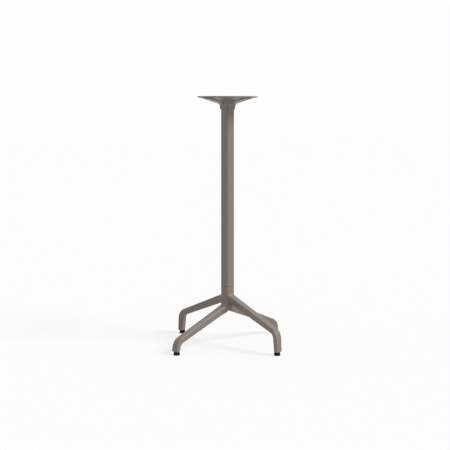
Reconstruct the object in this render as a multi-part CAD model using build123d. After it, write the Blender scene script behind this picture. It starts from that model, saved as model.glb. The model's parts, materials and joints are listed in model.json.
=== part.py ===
from build123d import *
from math import radians, tan
import os

# High table base: round top flange, square column on its corner, four bent legs, levelling glides.
# Millimetres, +Z up, origin on the floor below the middle of the column.

# Driving dimensions

TOTAL_HEIGHT = 1050.0
DIRECTIONS = {"back_right": 45.0, "back_left": 135.0, "front_left": 225.0, "front_right": 315.0}
FIT_CLEARANCE = 0.25

# Column
COLUMN_SIDE = 44.0
COLUMN_CORNER = 9.0
COLUMN_WALL = 2.5
SEAM_HEIGHT = 246.6
SEAM_BEVEL = 0.5

# Top flange
FLANGE_DIAMETER = 256.0
FLANGE_RIM = 5.0
FLANGE_RIM_BEVEL = 0.8
FLANGE_CONE_DEGREES = 11.3
FLANGE_HEIGHT = 57.0
FLANGE_POCKET_FLOOR = 5.0
FLANGE_RIM_BAND = 12.0
FLANGE_HUB_DIAMETER = 60.0
ARM_LENGTH = 121.0
ARM_TIP_DEPTH = 11.8
ARM_TIP_WIDTH = 38.0
ARM_BEND_START = 37.7
ARM_BEND_DEPTH = 31.0
SCREW_CIRCLE = 186.0
SCREW_HOLE = 6.5
SCREW_RECESS = 11.0
SCREW_RECESS_DEPTH = 5.0

# Legs
LEG_SLOPE_DEGREES = 22.0
LEG_TOP_WIDTH = 33.5
LEG_UNDER_WIDTH = 19.0
LEG_CORNER = 3.5
LEG_ROOT_TOP_WIDTH = 43.0
LEG_ROOT_UNDER_WIDTH = 30.0
LEG_ROOT_CORNER = 8.0
LEG_ROOT_LENGTH = 28.0
LEG_HUB_DEPTH = 32.0
LEG_KNEE_DEPTH = 25.0
LEG_FOOT_DEPTH = 20.5
LEG_REACH = 300.0
KNEE_RADIUS = 50.0
POST_LEAN_DEGREES = 2.5
FOOT_HEIGHT = 15.0
UPPER_LEG_START = 210.0
LOWER_LEG_START = 169.0
LEG_STARTS = {
    "back_right": LOWER_LEG_START,
    "back_left": UPPER_LEG_START,
    "front_left": LOWER_LEG_START,
    "front_right": UPPER_LEG_START,
}
HUB_UNDERSIDE = 151.0
HUB_EDGE_ROUND = 5.0
LEG_ROOT_FILLET = 10.0

# Joint of flange, tube and foot
SPIGOT_LENGTH = 28.0
ROD_DIAMETER = 10.0
ROD_HOLE = 11.0
ROD_END_MARGIN = 4.0
NUT_ACROSS_FLATS = 17.0
NUT_SIDES = 6
NUT_HEIGHT = 8.0
WASHER_DIAMETER = 24.0
WASHER_THICKNESS = 2.0
NUT_RECESS = 28.0
TOP_RECESS_DEPTH = 22.0
BOTTOM_RECESS_DEPTH = 22.0

# Levelling glides
GLIDE_INSET = 12.5
BUSH_FLANGE = 24.0
BUSH_SPIGOT = 12.0
BUSH_SPIGOT_LENGTH = 20.0
STEM_DIAMETER = 8.0
STEM_RUNNING_CLEARANCE = 0.05
STEM_OVERRUN = 1.0
STEM_IN_PAD = 4.5
BUSH_HOLE_SPARE = 5.0
PAD_DIAMETER = 26.0
PAD_HEIGHT = 7.5
PAD_GAP = 0.4
PAD_EDGE_BEVEL = 1.2

# Worked out from the driving dimensions

column_half = COLUMN_SIDE / 2
flange_radius = FLANGE_DIAMETER / 2
flange_seat = TOTAL_HEIGHT - FLANGE_HEIGHT
cone_slope = tan(radians(FLANGE_CONE_DEGREES))
arm_slope = (ARM_BEND_DEPTH - ARM_TIP_DEPTH) / (ARM_LENGTH - ARM_BEND_START)
glide_radius = LEG_REACH - GLIDE_INSET
tube_inside = COLUMN_SIDE - 2 * COLUMN_WALL
spigot_side = tube_inside - 2 * FIT_CLEARANCE
spigot_corner = COLUMN_CORNER - COLUMN_WALL - FIT_CLEARANCE


def square(side, corner):
    """Rounded square with its corners on the X and Y axes."""
    return Rot(0, 0, DIRECTIONS["back_right"]) * RectangleRounded(side, side, corner)


def upright(shape, low, high):
    """A flat shape drawn up from one height to another."""
    return Pos(0, 0, low) * extrude(shape, high - low)


def cylinder(diameter, low, high):
    return upright(Circle(diameter / 2), low, high)


def make_column_tube():
    outside = square(COLUMN_SIDE, COLUMN_CORNER)
    inside = square(tube_inside, COLUMN_CORNER - COLUMN_WALL)
    return upright(outside - inside, SEAM_HEIGHT, flange_seat)


def cone_depth(radius):
    """How far the flange's conical underside lies below its top face."""
    return FLANGE_RIM + cone_slope * (flange_radius - radius)


def make_arm():
    """One curved arm, along +X, from the column's face out under the flange."""
    foot = (column_half, flange_seat)
    bend = (ARM_BEND_START, TOTAL_HEIGHT - ARM_BEND_DEPTH)
    tip = (ARM_LENGTH, TOTAL_HEIGHT - ARM_TIP_DEPTH)
    curve = Spline([foot, bend], tangents=[(0, 1), (1, arm_slope)])
    under = Line(bend, tip)
    closing = Polyline(tip, (ARM_LENGTH, TOTAL_HEIGHT), (0, TOTAL_HEIGHT), (0, flange_seat), foot)
    side = make_face(Plane.XZ * (curve + under + closing))
    profile = extrude(side, column_half, both=True)
    plan = Polygon(
        (0, -column_half),
        (column_half, -column_half),
        (ARM_LENGTH, -ARM_TIP_WIDTH / 2),
        (ARM_LENGTH, ARM_TIP_WIDTH / 2),
        (column_half, column_half),
        (0, column_half),
        align=None,
    )
    return profile & upright(plan, flange_seat, TOTAL_HEIGHT)


def arm_depth(radius):
    """How far an arm's straight underside lies below the top face."""
    return ARM_TIP_DEPTH + arm_slope * (ARM_LENGTH - radius)


def make_pockets():
    """Casting pockets in the top face, between the centre, the rim and the ribs over the arms."""
    inner = FLANGE_HUB_DIAMETER / 2
    outer = flange_radius - FLANGE_RIM_BAND
    section = Polygon(
        (inner, TOTAL_HEIGHT),
        (outer, TOTAL_HEIGHT),
        (outer, TOTAL_HEIGHT - cone_depth(outer) + FLANGE_POCKET_FLOOR),
        (inner, TOTAL_HEIGHT - cone_depth(inner) + FLANGE_POCKET_FLOOR),
        align=None,
    )
    pockets = revolve(Plane.XZ * section, Axis.Z)
    for angle in DIRECTIONS.values():
        rib = Pos(flange_radius / 2, 0) * Rectangle(flange_radius, ARM_TIP_WIDTH)
        pockets -= Rot(0, 0, angle) * upright(rib, flange_seat, TOTAL_HEIGHT)
    return pockets


def make_top_flange():
    rim = TOTAL_HEIGHT - FLANGE_RIM
    centre = TOTAL_HEIGHT - cone_depth(0)
    section = Polygon(
        (0, TOTAL_HEIGHT),
        (flange_radius, TOTAL_HEIGHT),
        (flange_radius, rim),
        (0, centre),
        align=None,
    )
    plate = revolve(Plane.XZ * section, Axis.Z)
    plate = chamfer(plate.edges().group_by(Axis.Z)[-1], FLANGE_RIM_BEVEL)
    flange = plate + upright(square(COLUMN_SIDE, COLUMN_CORNER), flange_seat, TOTAL_HEIGHT)
    for angle in DIRECTIONS.values():
        flange += Rot(0, 0, angle) * make_arm()
    flange -= make_pockets()
    flange += upright(square(spigot_side, spigot_corner), flange_seat - SPIGOT_LENGTH, flange_seat)
    recess_floor = TOTAL_HEIGHT - TOP_RECESS_DEPTH
    flange -= cylinder(NUT_RECESS, recess_floor, TOTAL_HEIGHT)
    flange -= cylinder(ROD_HOLE, flange_seat - SPIGOT_LENGTH, TOTAL_HEIGHT)
    screw_radius = SCREW_CIRCLE / 2
    recess_top = TOTAL_HEIGHT - arm_depth(screw_radius) + SCREW_RECESS_DEPTH
    for angle in DIRECTIONS.values():
        place = Rot(0, 0, angle) * Pos(screw_radius, 0, 0)
        flange -= place * cylinder(SCREW_HOLE, flange_seat, TOTAL_HEIGHT)
        flange -= place * cylinder(SCREW_RECESS, flange_seat, recess_top)
    return flange


def leg_section(line, share, depth, top_width, under_width, corner):
    """Rounded trapezoid hanging from a point of the leg's outer line, wide side outward."""
    face = Polygon(
        (-top_width / 2, 0),
        (top_width / 2, 0),
        (under_width / 2, -depth),
        (-under_width / 2, -depth),
        align=None,
    )
    face = fillet(face.vertices(), corner)
    return Plane(origin=line @ share, x_dir=(0, 1, 0), z_dir=line % share) * face


def root_section(line, share):
    return leg_section(
        line, share, LEG_HUB_DEPTH, LEG_ROOT_TOP_WIDTH, LEG_ROOT_UNDER_WIDTH, LEG_ROOT_CORNER
    )


def slim_section(line, share, depth):
    return leg_section(line, share, depth, LEG_TOP_WIDTH, LEG_UNDER_WIDTH, LEG_CORNER)


def make_leg(start_height):
    """One leg along +X: out of the collar's face, down the slope, round the knee, down the post."""
    slope = tan(radians(LEG_SLOPE_DEGREES))
    lean = tan(radians(POST_LEAN_DEGREES))
    drop = start_height + slope * column_half - FOOT_HEIGHT
    knee_x = (LEG_REACH - lean * drop) / (1 - lean * slope)
    knee = (knee_x, 0, FOOT_HEIGHT + drop - slope * knee_x)
    root = (column_half, 0, start_height)
    above = (column_half, 0, start_height + 2 * LEG_ROOT_FILLET)
    below = (LEG_REACH + lean * FOOT_HEIGHT, 0, 0)
    line = FilletPolyline(above, root, knee, below, radius=[LEG_ROOT_FILLET, KNEE_RADIUS])
    upper, bend, ramp, corner, post = line.edges()
    leg = sweep(root_section(upper, 0), path=upper)
    leg += sweep(root_section(bend, 0), path=bend)
    root_share = LEG_ROOT_LENGTH / ramp.length
    root_depth = LEG_HUB_DEPTH + (LEG_KNEE_DEPTH - LEG_HUB_DEPTH) * root_share
    leg += loft([root_section(ramp, 0), slim_section(ramp, root_share, root_depth)], ruled=True)
    ramp_ends = [slim_section(ramp, root_share, root_depth), slim_section(ramp, 1, LEG_KNEE_DEPTH)]
    leg += loft(ramp_ends, ruled=True)
    leg += sweep(slim_section(corner, 0, LEG_KNEE_DEPTH), path=corner)
    post_ends = [slim_section(post, 0, LEG_KNEE_DEPTH), slim_section(post, 1, LEG_FOOT_DEPTH)]
    leg += loft(post_ends, ruled=True)
    below_foot = Pos(LEG_REACH, 0, 0) * Box(2 * LEG_REACH, LEG_REACH, 2 * FOOT_HEIGHT)
    return leg - below_foot


def make_leg_base():
    collar = upright(square(COLUMN_SIDE, COLUMN_CORNER), HUB_UNDERSIDE, SEAM_HEIGHT)
    collar = fillet(collar.edges().group_by(Axis.Z)[0], HUB_EDGE_ROUND)
    collar = chamfer(collar.edges().group_by(Axis.Z)[-1], SEAM_BEVEL)
    base = collar
    for direction, start_height in LEG_STARTS.items():
        base += Rot(0, 0, DIRECTIONS[direction]) * make_leg(start_height)
    base += upright(square(spigot_side, spigot_corner), SEAM_HEIGHT, SEAM_HEIGHT + SPIGOT_LENGTH)
    base -= cylinder(ROD_HOLE, 0, SEAM_HEIGHT + SPIGOT_LENGTH)
    base -= cylinder(NUT_RECESS, 0, HUB_UNDERSIDE + BOTTOM_RECESS_DEPTH)
    hole_top = FOOT_HEIGHT + BUSH_SPIGOT_LENGTH + BUSH_HOLE_SPARE
    for angle in DIRECTIONS.values():
        base -= Rot(0, 0, angle) * Pos(glide_radius, 0, 0) * cylinder(BUSH_SPIGOT, 0, hole_top)
    return base


def make_washer(low):
    ring = Circle(WASHER_DIAMETER / 2) - Circle(ROD_HOLE / 2)
    return upright(ring, low, low + WASHER_THICKNESS)


def make_nut(low):
    hexagon = RegularPolygon(NUT_ACROSS_FLATS / 2, NUT_SIDES, major_radius=False)
    hexagon -= Circle(ROD_DIAMETER / 2)
    return upright(hexagon, low, low + NUT_HEIGHT)


def make_rod_set():
    """Threaded rod that pulls flange, tube and foot together, with a nut and washer at each end."""
    top_washer = TOTAL_HEIGHT - TOP_RECESS_DEPTH
    top_nut = top_washer + WASHER_THICKNESS
    bottom_washer = HUB_UNDERSIDE + BOTTOM_RECESS_DEPTH - WASHER_THICKNESS
    bottom_nut = bottom_washer - NUT_HEIGHT
    rod_low = bottom_nut - ROD_END_MARGIN
    rod_high = top_nut + NUT_HEIGHT + ROD_END_MARGIN
    return {
        "tie_rod": cylinder(ROD_DIAMETER, rod_low, rod_high),
        "top_washer": make_washer(top_washer),
        "top_nut": make_nut(top_nut),
        "bottom_washer": make_washer(bottom_washer),
        "bottom_nut": make_nut(bottom_nut),
    }


def make_end_bush():
    flange_low = PAD_HEIGHT + PAD_GAP
    top = FOOT_HEIGHT + BUSH_SPIGOT_LENGTH
    bush = cylinder(BUSH_FLANGE, flange_low, FOOT_HEIGHT) + cylinder(BUSH_SPIGOT, FOOT_HEIGHT, top)
    bore = STEM_DIAMETER + 2 * STEM_RUNNING_CLEARANCE
    return bush - cylinder(bore, flange_low, top)


def make_glide_stem():
    top = FOOT_HEIGHT + BUSH_SPIGOT_LENGTH + STEM_OVERRUN
    return cylinder(STEM_DIAMETER, PAD_HEIGHT - STEM_IN_PAD, top)


def make_glide_pad():
    pad = cylinder(PAD_DIAMETER, 0, PAD_HEIGHT)
    pad = chamfer(pad.edges().group_by(Axis.Z)[0], PAD_EDGE_BEVEL)
    return pad - cylinder(STEM_DIAMETER, PAD_HEIGHT - STEM_IN_PAD, PAD_HEIGHT)


def main():
    pieces = {
        "top_flange": make_top_flange(),
        "column_tube": make_column_tube(),
        "leg_base": make_leg_base(),
    }
    pieces.update(make_rod_set())
    for direction, angle in DIRECTIONS.items():
        place = Rot(0, 0, angle) * Pos(glide_radius, 0, 0)
        pieces[f"end_bush_{direction}"] = place * make_end_bush()
        pieces[f"glide_stem_{direction}"] = place * make_glide_stem()
        pieces[f"glide_pad_{direction}"] = place * make_glide_pad()
    os.makedirs("parts", exist_ok=True)
    for name, piece in pieces.items():
        export_step(piece, f"parts/{name}.step")


main()
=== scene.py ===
import json
import math

import bmesh
import bpy
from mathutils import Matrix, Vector


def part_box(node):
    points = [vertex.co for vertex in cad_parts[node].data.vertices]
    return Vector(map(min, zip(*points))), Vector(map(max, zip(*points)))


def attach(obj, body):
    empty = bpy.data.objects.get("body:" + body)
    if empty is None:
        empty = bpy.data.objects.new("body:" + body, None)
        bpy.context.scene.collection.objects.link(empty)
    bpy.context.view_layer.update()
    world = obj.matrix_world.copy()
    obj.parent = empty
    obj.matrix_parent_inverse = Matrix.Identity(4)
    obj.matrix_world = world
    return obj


# Camera: the photograph's frame is square, and rows and columns are its pixels. Distances are in metres.
FRAME_PIXELS = 450.0
CAMERA_FOCAL_PIXELS = 1050.0
CAMERA_DISTANCE = 4.454
CAMERA_HEIGHT = 1.0252
CAMERA_TURN_DEGREES = -0.8
HORIZON_ROW = 102.0
AXIS_PIXEL = 227.57
SENSOR_WIDTH_MM = 36.0
CLIP_END = 100.0

# Light: a sun seen from the object, its height above the floor and its turn from the front to the right
SUN_HEIGHT_DEGREES = 42.0
SUN_TURN_DEGREES = 68.0
SUN_WIDTH_DEGREES = 26.0
SUN_STRENGTH = 3.25
SKY_STRENGTH = 0.69
FLOOR_SIZE = 60.0

# Colours, as linear light
WHITE = (1.0, 1.0, 1.0, 1.0)
PAGE_WHITE = (0.982, 0.982, 0.982, 1.0)
FLOOR_COLOUR = (0.72, 0.72, 0.72, 1.0)
FLOOR_SEEN_COLOUR = (0.70, 0.70, 0.70, 1.0)
FLOOR_SHADOW_SHARE = 0.27
TAUPE = (0.140, 0.111, 0.091, 1.0)
TAUPE_LIGHT = (0.157, 0.126, 0.104, 1.0)
# Painted shade: near-black colour standing in for the shadow in the gap where the tube meets the foot
PAINTED_SEAM_SHADOW = (0.02, 0.016, 0.014, 1.0)
ZINC = (0.55, 0.55, 0.53, 1.0)
BLACK = (0.004, 0.004, 0.005, 1.0)

# Surfaces: how many times a pattern repeats in a metre, how rough the gloss is, how strong the relief is
NOISE_LOW = 0.3
NOISE_HIGH = 0.7
NOISE_DETAIL = 3.0
RELIEF_DEPTH = 0.0001
PEEL_SCALE = 1400.0
PEEL_STRENGTH = 0.05
PEEL_SHARE = 0.5
DRIFT_SCALE = 14.0
DRIFT_SHARE = 0.5
COAT_ROUGHNESS = (0.34, 0.41)
GRAIN_SCALE = 900.0
GRAIN_STRENGTH = 0.2
PLASTIC_ROUGHNESS = (0.32, 0.48)
PLASTIC_SPECULAR = 0.15
CLOUD_SCALE = 150.0
CLOUD_DETAIL = 2.0
CLOUD_STRENGTH = 0.1
ZINC_ROUGHNESS = (0.28, 0.45)
# Half width of the painted shade line in the gap at the joint between tube and foot
SEAM_SHADOW_HALF_WIDTH = 0.0005

# The webs under the flange, in metres: radius and depth below the top face, midway between two arms
WEB_MIDDLE = ((0.0272, 0.0550), (0.0297, 0.0480), (0.0344, 0.0372), (0.0426, 0.0286), (0.0526, 0.0235),
              (0.0628, 0.0197), (0.0774, 0.0158), (0.0920, 0.0127), (0.1180, 0.0073), (0.1240, 0.0060))
# The arms: distance from the middle and depth below the top face of their undersides, then half widths
ARM_UNDER = ((0.0220, 0.0570), (0.0245, 0.0430), (0.0290, 0.0345), (0.0377, 0.0310), (0.1210, 0.0118))
ARM_ROOT = (0.022, 0.022)
ARM_TIP = (0.121, 0.019)
# How far a web's edge stays above an arm's underside, runs into the arm, and reaches up into the plate
ARM_LEDGE = 0.0022
WEB_OVERLAP = 0.0015
WEB_COVER = 0.0025
# Webs in a ring, quads along and across one, and how closely the quads crowd toward the column
WEB_COUNT = 4
WEB_ROWS = 28
WEB_COLUMNS = 16
WEB_CROWDING = 1.6
# Radius from which a web's edge rises to its middle, so that it ends level with the flange's cone
FADE_START = 0.092
# The flange's cone: its depth at the rim and its slope
CONE_RIM = 0.005
CONE_SLOPE = 0.1998
SHARP_DEGREES = 40.0


def new_material(name):
    """An empty node material: its nodes, its links and its Principled shader."""
    material = bpy.data.materials.new(name)
    material.use_nodes = True
    nodes = material.node_tree.nodes
    return material, nodes, material.node_tree.links, nodes["Principled BSDF"]


def add_noise(nodes, links, scale, detail):
    """Noise in the object's own metres, so that it stays on the surface as the part moves."""
    place = nodes.new("ShaderNodeTexCoord")
    noise = nodes.new("ShaderNodeTexNoise")
    noise.inputs["Scale"].default_value = scale
    noise.inputs["Detail"].default_value = detail
    links.new(place.outputs["Object"], noise.inputs["Vector"])
    return noise.outputs["Fac"]


def add_range(nodes, links, value, low, high):
    """Spreads a noise's usual values over a range from low to high."""
    spread = nodes.new("ShaderNodeMapRange")
    spread.inputs["From Min"].default_value = NOISE_LOW
    spread.inputs["From Max"].default_value = NOISE_HIGH
    spread.inputs["To Min"].default_value = low
    spread.inputs["To Max"].default_value = high
    links.new(value, spread.inputs["Value"])
    return spread.outputs["Result"]


def add_bump(nodes, links, shader, height, strength):
    """Relief of RELIEF_DEPTH from a height between 0 and 1."""
    bump = nodes.new("ShaderNodeBump")
    bump.inputs["Strength"].default_value = strength
    bump.inputs["Distance"].default_value = RELIEF_DEPTH
    links.new(height, bump.inputs["Height"])
    links.new(bump.outputs["Normal"], shader.inputs["Normal"])


def add_painted_seam_shadow_mask(nodes, links, height, half_width):
    """1 within half a width of the joint between tube and foot, where the gap's shade is painted as a dark
    line, else 0.
    """
    place = nodes.new("ShaderNodeTexCoord")
    split = nodes.new("ShaderNodeSeparateXYZ")
    links.new(place.outputs["Object"], split.inputs["Vector"])
    near = nodes.new("ShaderNodeMath")
    near.operation = "COMPARE"
    near.inputs[1].default_value = height
    near.inputs[2].default_value = half_width
    links.new(split.outputs["Z"], near.inputs[0])
    return near.outputs["Value"]


def powder_coat(seam_height):
    """Fine-textured powder coat: orange peel under a millimetre wide, a faint drift of colour and gloss, and
    painted shade: a near-black line standing in for the shadow in the gap at the joint between tube and foot.
    """
    material, nodes, links, shader = new_material("powder_coat")
    peel = add_noise(nodes, links, PEEL_SCALE, NOISE_DETAIL)
    drift = add_noise(nodes, links, DRIFT_SCALE, NOISE_DETAIL)
    colour = nodes.new("ShaderNodeMix")
    colour.data_type = "RGBA"
    colour.inputs["A"].default_value = TAUPE
    colour.inputs["B"].default_value = TAUPE_LIGHT
    mottle = nodes.new("ShaderNodeMath")
    mottle.operation = "MULTIPLY_ADD"
    mottle.inputs[1].default_value = PEEL_SHARE
    links.new(peel, mottle.inputs[0])
    links.new(add_range(nodes, links, drift, 0.0, DRIFT_SHARE), mottle.inputs[2])
    links.new(mottle.outputs["Value"], colour.inputs["Factor"])
    # Painted shade: the coat turns near-black along the joint, standing in for the shadow in the gap between
    # tube and foot
    joint = nodes.new("ShaderNodeMix")
    joint.data_type = "RGBA"
    joint.inputs["B"].default_value = PAINTED_SEAM_SHADOW
    links.new(add_painted_seam_shadow_mask(nodes, links, seam_height, SEAM_SHADOW_HALF_WIDTH), joint.inputs["Factor"])
    links.new(colour.outputs["Result"], joint.inputs["A"])
    links.new(joint.outputs["Result"], shader.inputs["Base Color"])
    links.new(add_range(nodes, links, drift, *COAT_ROUGHNESS), shader.inputs["Roughness"])
    add_bump(nodes, links, shader, peel, PEEL_STRENGTH)
    return material


def black_plastic():
    """Moulded nylon: satin, with the fine grain of a blasted mould."""
    material, nodes, links, shader = new_material("black_plastic")
    grain = add_noise(nodes, links, GRAIN_SCALE, NOISE_DETAIL)
    links.new(add_range(nodes, links, grain, *PLASTIC_ROUGHNESS), shader.inputs["Roughness"])
    add_bump(nodes, links, shader, grain, GRAIN_STRENGTH)
    shader.inputs["Base Color"].default_value = BLACK
    shader.inputs["Specular IOR Level"].default_value = PLASTIC_SPECULAR
    return material


def zinc_steel():
    """Zinc-plated steel: cloudy gloss and a hint of uneven plating."""
    material, nodes, links, shader = new_material("zinc_steel")
    cloud = add_noise(nodes, links, CLOUD_SCALE, CLOUD_DETAIL)
    links.new(add_range(nodes, links, cloud, *ZINC_ROUGHNESS), shader.inputs["Roughness"])
    add_bump(nodes, links, shader, cloud, CLOUD_STRENGTH)
    shader.inputs["Base Color"].default_value = ZINC
    shader.inputs["Metallic"].default_value = 1.0
    return material


def dress(frame):
    """Gives every CAD node the material of its slot."""
    materials = {
        "powder_coat": powder_coat(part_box("column_tube")[0][2]),
        "black_plastic": black_plastic(),
        "zinc_steel": zinc_steel(),
    }
    slots = {row["node"]: row["material_slot"] for row in frame["record"]["subparts"]}
    for name, node in frame["nodes"].items():
        node.data.materials.clear()
        node.data.materials.append(materials[slots[name]])
    return materials


def along(points, place):
    """The second value of a list of pairs, read off between them at a first value."""
    for (x0, y0), (x1, y1) in zip(points, points[1:]):
        if place <= x1:
            return y0 + (y1 - y0) * (max(place, x0) - x0) / (x1 - x0)
    return points[-1][1]


def web_edge(radius):
    """Where a web runs into an arm: the angle from the web's middle, and the depth there."""
    # The arm's width is first read at the radius itself, then again at the distance out that this gives
    half_width = along((ARM_ROOT, ARM_TIP), radius)
    half_width = along((ARM_ROOT, ARM_TIP), math.sqrt(max(radius**2 - half_width**2, 0.0)))
    out = math.sqrt(max(radius**2 - half_width**2, 0.0))
    angle = math.pi / WEB_COUNT - math.asin(min(half_width / radius, 1.0))
    return max(angle, 0.0) + WEB_OVERLAP / radius, along(ARM_UNDER, out) - ARM_LEDGE


def make_webs(coat, corner):
    """Cast webs that swell from the flange's cone down to the arms and the column's corners.

    corner is the flange's upper corner, which gives its radius and the height of its top face.
    """
    rim, top = corner[0], corner[2]
    mesh = bmesh.new()
    inner = WEB_MIDDLE[0][0]
    outer = WEB_MIDDLE[-1][0]
    for turn in range(WEB_COUNT):
        rings = []
        for row in range(WEB_ROWS + 1):
            radius = inner + (outer - inner) * (row / WEB_ROWS) ** WEB_CROWDING
            edge, edge_depth = web_edge(radius)
            middle_depth = along(WEB_MIDDLE, radius)
            fade = max(radius - FADE_START, 0.0) / (outer - FADE_START)
            edge_depth += (middle_depth - edge_depth) * fade
            roof = CONE_RIM + CONE_SLOPE * (rim - radius) - WEB_COVER
            lower, upper = [], []
            for column in range(WEB_COLUMNS + 1):
                share = 2 * column / WEB_COLUMNS - 1
                angle = turn * math.tau / WEB_COUNT + share * edge
                depth = middle_depth + (edge_depth - middle_depth) * share**2
                x, y = radius * math.cos(angle), radius * math.sin(angle)
                lower.append(mesh.verts.new((x, y, top - depth)))
                upper.append(mesh.verts.new((x, y, top - roof)))
            rings.append(lower + upper[::-1])
        for ring, following in zip(rings, rings[1:]):
            count = len(ring)
            for index in range(count):
                after = (index + 1) % count
                mesh.faces.new((ring[index], ring[after], following[after], following[index]))
        for ring in (rings[0], rings[-1]):
            for index in range(WEB_COLUMNS):
                mesh.faces.new((ring[index], ring[index + 1], ring[-2 - index], ring[-1 - index]))
    bmesh.ops.recalc_face_normals(mesh, faces=mesh.faces)
    data = bpy.data.meshes.new("flange_webs")
    mesh.to_mesh(data)
    mesh.free()
    data.polygons.foreach_set("use_smooth", [True] * len(data.polygons))
    data.set_sharp_from_angle(angle=math.radians(SHARP_DEGREES))
    webs = bpy.data.objects.new("flange_webs", data)
    bpy.context.scene.collection.objects.link(webs)
    data.materials.append(coat)
    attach(webs, "base")


def make_camera():
    """A level camera whose lens is shifted down, as in the photograph: uprights stay upright."""
    data = bpy.data.cameras.new("camera")
    camera = bpy.data.objects.new("camera", data)
    bpy.context.scene.collection.objects.link(camera)
    data.sensor_fit = "HORIZONTAL"
    data.sensor_width = SENSOR_WIDTH_MM
    data.lens = CAMERA_FOCAL_PIXELS / FRAME_PIXELS * SENSOR_WIDTH_MM
    data.shift_y = (HORIZON_ROW - FRAME_PIXELS / 2) / FRAME_PIXELS
    data.shift_x = (FRAME_PIXELS / 2 - AXIS_PIXEL) / FRAME_PIXELS
    data.clip_end = CLIP_END
    turn = math.radians(CAMERA_TURN_DEGREES)
    camera.location = (
        -CAMERA_DISTANCE * math.sin(turn),
        -CAMERA_DISTANCE * math.cos(turn),
        CAMERA_HEIGHT,
    )
    camera.rotation_euler = (math.pi / 2, 0.0, -turn)
    bpy.context.scene.camera = camera


def add_page_rays(nodes, links):
    """1 where a ray comes from the camera, a mirror or a glass, else 0."""
    path = nodes.new("ShaderNodeLightPath")
    total = path.outputs["Is Camera Ray"]
    for name in ("Is Glossy Ray", "Is Transmission Ray"):
        either = nodes.new("ShaderNodeMath")
        either.operation = "MAXIMUM"
        links.new(total, either.inputs[0])
        links.new(path.outputs[name], either.inputs[1])
        total = either.outputs["Value"]
    return total


def make_floor():
    """White studio floor: the page's white with a share of the lit floor, which holds the shadow."""
    bpy.ops.mesh.primitive_plane_add(size=FLOOR_SIZE)
    floor = bpy.context.object
    floor.name = "floor"
    material, nodes, links, shader = new_material("floor")
    shader.inputs["Roughness"].default_value = 1.0
    shader.inputs["Specular IOR Level"].default_value = 0.0
    page = nodes.new("ShaderNodeEmission")
    page.inputs["Color"].default_value = PAGE_WHITE
    seen = add_page_rays(nodes, links)
    colour = nodes.new("ShaderNodeMix")
    colour.data_type = "RGBA"
    colour.inputs["A"].default_value = FLOOR_COLOUR
    colour.inputs["B"].default_value = FLOOR_SEEN_COLOUR
    links.new(seen, colour.inputs["Factor"])
    links.new(colour.outputs["Result"], shader.inputs["Base Color"])
    share = nodes.new("ShaderNodeMath")
    share.operation = "MULTIPLY"
    share.inputs[1].default_value = 1.0 - FLOOR_SHADOW_SHARE
    links.new(seen, share.inputs[0])
    mix = nodes.new("ShaderNodeMixShader")
    links.new(share.outputs["Value"], mix.inputs["Fac"])
    links.new(shader.outputs["BSDF"], mix.inputs[1])
    links.new(page.outputs["Emission"], mix.inputs[2])
    links.new(mix.outputs["Shader"], nodes["Material Output"].inputs["Surface"])
    floor.data.materials.append(material)


def make_light():
    """One soft sun from the right over an even white sky, which the camera sees as the page's white."""
    world = bpy.data.worlds.new("studio")
    bpy.context.scene.world = world
    world.use_nodes = True
    nodes = world.node_tree.nodes
    links = world.node_tree.links
    sky = nodes["Background"]
    sky.inputs["Color"].default_value = WHITE
    sky.inputs["Strength"].default_value = SKY_STRENGTH
    page = nodes.new("ShaderNodeBackground")
    page.inputs["Color"].default_value = PAGE_WHITE
    page.inputs["Strength"].default_value = 1.0
    mix = nodes.new("ShaderNodeMixShader")
    links.new(add_page_rays(nodes, links), mix.inputs["Fac"])
    links.new(sky.outputs["Background"], mix.inputs[1])
    links.new(page.outputs["Background"], mix.inputs[2])
    links.new(mix.outputs["Shader"], nodes["World Output"].inputs["Surface"])

    data = bpy.data.lights.new("sun", "SUN")
    data.energy = SUN_STRENGTH
    data.angle = math.radians(SUN_WIDTH_DEGREES)
    sun = bpy.data.objects.new("sun", data)
    bpy.context.scene.collection.objects.link(sun)
    height = math.radians(SUN_HEIGHT_DEGREES)
    turn = math.radians(SUN_TURN_DEGREES)
    toward = Vector((math.sin(turn) * math.cos(height), -math.cos(turn) * math.cos(height), math.sin(height)))
    sun.location = toward * CAMERA_DISTANCE
    sun.rotation_euler = toward.to_track_quat("Z", "Y").to_euler()


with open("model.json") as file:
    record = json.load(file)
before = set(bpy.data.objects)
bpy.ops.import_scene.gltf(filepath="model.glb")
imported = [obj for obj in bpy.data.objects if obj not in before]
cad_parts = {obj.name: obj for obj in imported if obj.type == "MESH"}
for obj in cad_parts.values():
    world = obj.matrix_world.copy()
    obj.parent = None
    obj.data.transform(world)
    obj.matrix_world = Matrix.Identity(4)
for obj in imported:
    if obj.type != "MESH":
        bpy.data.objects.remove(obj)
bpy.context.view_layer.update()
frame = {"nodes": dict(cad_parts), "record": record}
materials = dress(frame)
make_webs(materials["powder_coat"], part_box("top_flange")[1])
make_camera()
make_floor()
make_light()
bpy.context.scene.view_settings.view_transform = "Standard"
